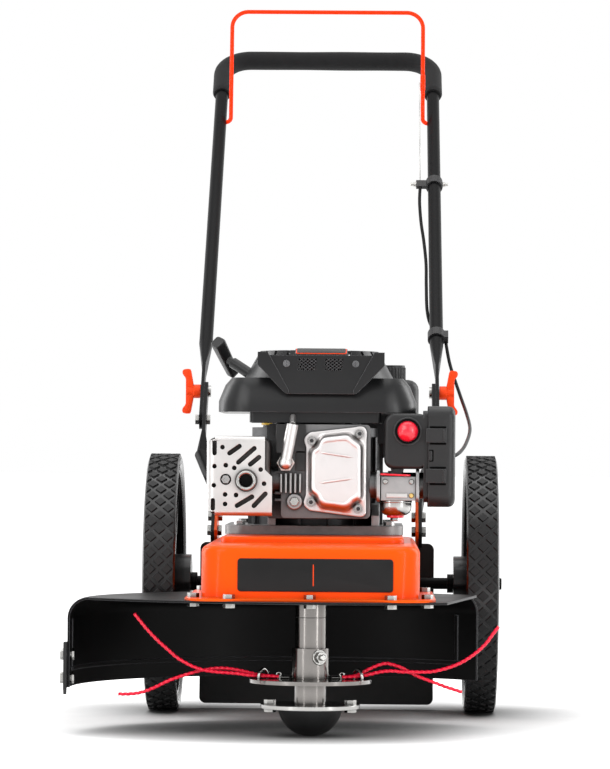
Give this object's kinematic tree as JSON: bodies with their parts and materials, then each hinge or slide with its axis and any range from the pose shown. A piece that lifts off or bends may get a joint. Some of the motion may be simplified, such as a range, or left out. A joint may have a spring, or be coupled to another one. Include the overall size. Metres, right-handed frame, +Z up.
{
  "type": "wheeled string trimmer",
  "caption": "Walk-behind petrol string trimmer: belt-driven line head under a debris hood, big wheels, vertical-shaft engine and a folding tube handle with a stop bail.",
  "frame": {"origin": "on the ground under the line head, at the flat of the skid dome", "axes": "+Y from the head back to the operator, +X to the right in the picture, +Z up"},
  "size_m": [0.5753, 1.5668, 1.0692],
  "materials": {
    "orange_paint": "gloss",
    "black_paint": "satin",
    "zinc": "zinc plated",
    "cast_aluminium": "as cast",
    "dark_aluminium": "painted casting",
    "steel_sheet": "pressed",
    "black_plastic": "grained",
    "rim_black": "gloss",
    "tyre_black": "matt",
    "rubber_black": "matt",
    "foam_black": "foam",
    "line_red": "nylon",
    "orange_plastic": "moulded",
    "red_rubber": "translucent",
    "yellow_plastic": "moulded",
    "ceramic": "glazed"
  },
  "bodies": {
    "chassis": {"deck": "orange_paint", "debris_hood": "black_paint", "hood_flap": "rubber_black", "chassis_bolts": "zinc", "rear_flap": "rubber_black", "axle": "black_paint", "axle_nuts": "zinc", "axle_brackets": "black_paint", "spindle_housing": "zinc", "spindle_bearings": "zinc", "drive_belt": "rubber_black", "lower_handle_left": "black_paint", "lower_handle_right": "black_paint", "handle_bolts": "zinc", "engine_base": "dark_aluminium", "engine_cylinder": "cast_aluminium", "valve_cover": "cast_aluminium", "spark_plug": "ceramic", "spark_plug_boot": "steel_sheet", "muffler": "steel_sheet", "muffler_guard": "steel_sheet", "carburettor": "cast_aluminium", "float_bowl": "steel_sheet", "air_cleaner_base": "black_plastic", "air_cleaner_cover": "black_plastic", "blower_shroud": "black_plastic", "fuel_tank": "black_plastic", "engine_fasteners": "zinc", "control_cable_lower": "rubber_black"},
    "wheel_left": {"tyre_left": "tyre_black", "rim_left": "rim_black"},
    "wheel_right": {"tyre_right": "tyre_black", "rim_right": "rim_black"},
    "line_head": {"spindle_shaft": "zinc", "spindle_pulley": "dark_aluminium", "string_head": "zinc", "head_bolts": "zinc", "line_guides": "zinc", "skid_plate": "zinc", "skid_dome": "black_plastic", "line_left_upper": "line_red", "line_left_lower": "line_red", "line_right_upper": "line_red", "line_right_lower": "line_red"},
    "crank": {"crankshaft": "zinc", "crank_pulley": "dark_aluminium"},
    "handle": {"upper_handle": "black_paint", "foam_grip": "foam_black", "cable_holders": "black_plastic", "control_cable_upper": "rubber_black", "inner_wire": "zinc"},
    "bail": {"bail": "orange_paint"},
    "knob_left": {"knob_left": "orange_plastic"},
    "knob_right": {"knob_right": "orange_plastic"},
    "starter_grip": {"starter_grip": "black_plastic", "starter_rope": "rubber_black"},
    "primer_bulb": {"primer_bulb": "red_rubber"},
    "fuel_cap": {"fuel_cap": "black_plastic"},
    "oil_dipstick": {"oil_dipstick": "yellow_plastic"},
    "brake_lever": {"brake_lever": "zinc"}
  },
  "joints": [
    {"name": "wheel_left_spin", "type": "hinge", "parent": "chassis", "child": "wheel_left", "pos_m": [-0.211, 0.49, 0.178], "axis": [1, 0, 0], "continuous": true},
    {"name": "wheel_right_spin", "type": "hinge", "parent": "chassis", "child": "wheel_right", "pos_m": [0.227, 0.49, 0.178], "axis": [1, 0, 0], "continuous": true},
    {"name": "head_spin", "type": "hinge", "parent": "chassis", "child": "line_head", "pos_m": [0, 0, 0.1], "axis": [0, 0, 1], "continuous": true},
    {"name": "crank_spin", "type": "hinge", "parent": "chassis", "child": "crank", "pos_m": [0, 0.33, 0.217], "axis": [0, 0, 1], "continuous": true},
    {"name": "handle_fold", "type": "hinge", "parent": "chassis", "child": "handle", "pos_m": [0, 0.668, 0.405], "axis": [1, 0, 0], "range_deg": [0, 125], "deforming": ["control_cable_lower"]},
    {"name": "bail_squeeze", "type": "hinge", "parent": "handle", "child": "bail", "pos_m": [0, 1.28225, 0.88491], "axis": [-1, 0, 0], "range_deg": [0, 33], "stiffness_Nm_per_rad": 0.6, "springref_deg": -34.38, "deforming": ["inner_wire"]},
    {"name": "brake_lever_turn", "type": "hinge", "parent": "chassis", "child": "brake_lever", "pos_m": [0.0975, 0.32, 0.385], "axis": [1, 0, 0], "range_deg": [0, 20]},
    {"name": "knob_left_turn", "type": "hinge", "parent": "chassis", "child": "knob_left", "pos_m": [-0.18, 0.7208, 0.44625], "axis": [1, 0, 0], "range_deg": [0, 720]},
    {"name": "knob_right_turn", "type": "hinge", "parent": "chassis", "child": "knob_right", "pos_m": [0.18, 0.7208, 0.44625], "axis": [1, 0, 0], "range_deg": [0, 720]},
    {"name": "recoil_pull", "type": "slide", "parent": "chassis", "child": "starter_grip", "axis": [-0.7517, 0.451, 0.4811], "range_m": [0, 0.6], "stiffness_N_per_m": 20, "springref_m": -0.1},
    {"name": "primer_press", "type": "slide", "parent": "chassis", "child": "primer_bulb", "axis": [0, 1, 0], "range_m": [0, 0.006], "stiffness_N_per_m": 800, "springref_m": -0.001},
    {"name": "fuel_cap_turn", "type": "hinge", "parent": "chassis", "child": "fuel_cap", "pos_m": [0.104, 0.471, 0.46], "axis": [0, 0, 1], "range_deg": [0, 360]},
    {"name": "dipstick_turn", "type": "hinge", "parent": "chassis", "child": "oil_dipstick", "pos_m": [-0.062, 0.456, 0.396], "axis": [0, 0, 1], "range_deg": [0, 360]}
  ],
  "couplings": [
    {"joint": "crank_spin", "follows": "head_spin", "ratio": 1.25},
    {"joint": "brake_lever_turn", "follows": "bail_squeeze", "ratio": 0.6}
  ]
}
